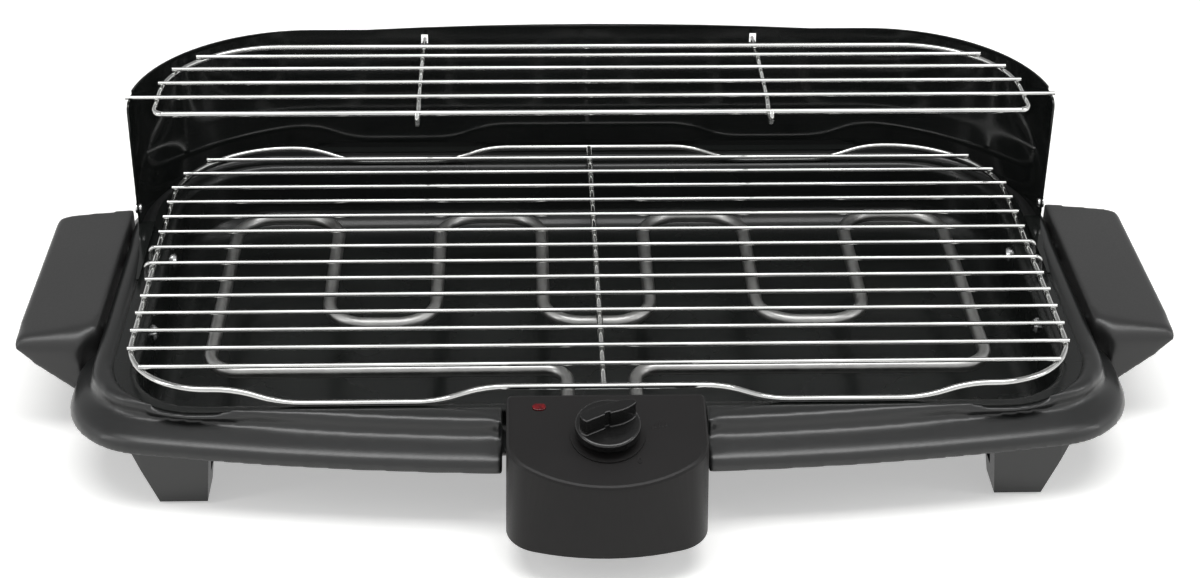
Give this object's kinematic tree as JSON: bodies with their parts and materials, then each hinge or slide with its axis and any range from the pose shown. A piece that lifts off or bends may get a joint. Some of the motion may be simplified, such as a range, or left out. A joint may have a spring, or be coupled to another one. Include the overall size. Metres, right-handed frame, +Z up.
{
  "type": "electric tabletop barbecue grill",
  "caption": "Tabletop electric grill: enamelled pan in a plastic frame, wire grid over a tube element, windshield with warming rack, lift-off control unit with knob.",
  "frame": {"origin": "on the table, under the middle of the outline (bounding box)", "axes": "+X along the width, to the right as the user sees it; +Y away from the user, towards the windshield; +Z up"},
  "size_m": [0.558, 0.3466, 0.1234],
  "materials": {
    "frame_plastic": "heat-resistant moulding, matt with fine grain",
    "handle_plastic": "heat-resistant moulding, matt with fine grain",
    "housing_plastic": "heat-resistant moulding, matt",
    "knob_plastic": "moulded, satin",
    "pad_rubber": "moulded, matt",
    "gland_rubber": "moulded, matt",
    "pan_enamel": "gloss vitreous enamel on steel sheet",
    "shield_enamel": "gloss vitreous enamel on steel sheet",
    "grid_chrome": "bright chrome-plated steel wire",
    "rack_chrome": "bright chrome-plated steel wire",
    "tube_alloy": "drawn nickel-alloy tube, oxidised grey",
    "bracket_steel": "bright zinc-plated sheet",
    "screw_steel": "bright plated",
    "rivet_steel": "bright plated",
    "shaft_steel": "turned",
    "switch_ceramic": "unglazed, matt",
    "lens_red": "clear red moulding",
    "lamp_glass": "clear"
  },
  "bodies": {
    "base": {"base_frame": "frame_plastic", "legs": "frame_plastic", "foot_pads": "pad_rubber", "pan": "pan_enamel", "handle_left": "handle_plastic", "handle_right": "handle_plastic", "handle_screws": "screw_steel"},
    "control_unit": {"control_housing": "housing_plastic", "control_base": "housing_plastic", "base_screws": "screw_steel", "thermostat": "switch_ceramic", "lamp_lens": "lens_red", "lamp": "lamp_glass", "terminal_block": "switch_ceramic", "cord_gland": "gland_rubber", "heating_element": "tube_alloy", "element_bracket": "bracket_steel"},
    "knob": {"knob": "knob_plastic", "knob_shaft": "shaft_steel"},
    "cooking_grid": {"grid_edge_wire": "grid_chrome", "grid_wires": "grid_chrome", "grid_loop": "grid_chrome", "grid_centre_wire": "grid_chrome"},
    "windshield": {"windshield": "shield_enamel", "shield_rivets": "rivet_steel"},
    "warming_rack": {"rack_edge_wire": "rack_chrome", "rack_bars": "rack_chrome", "rack_bearers": "rack_chrome"}
  },
  "joints": [
    {"name": "control_unit_lift", "type": "slide", "parent": "base", "child": "control_unit", "axis": [0, -0.8829, 0.4695], "range_m": [0, 0.09]},
    {"name": "knob_turn", "type": "hinge", "parent": "control_unit", "child": "knob", "pos_m": [0, -0.14275, 0.06067], "axis": [0, -0.2079, 0.9781], "range_deg": [-290, 0]},
    {"name": "cooking_grid_lift", "type": "slide", "parent": "control_unit", "child": "cooking_grid", "axis": [0, -0.829, 0.5592], "range_m": [0, 0.09]},
    {"name": "windshield_lift", "type": "slide", "parent": "base", "child": "windshield", "axis": [0, 0, 1], "range_m": [0, 0.15]},
    {"name": "warming_rack_lift", "type": "slide", "parent": "windshield", "child": "warming_rack", "axis": [0, -0.8192, 0.5736], "range_m": [0, 0.1]}
  ]
}
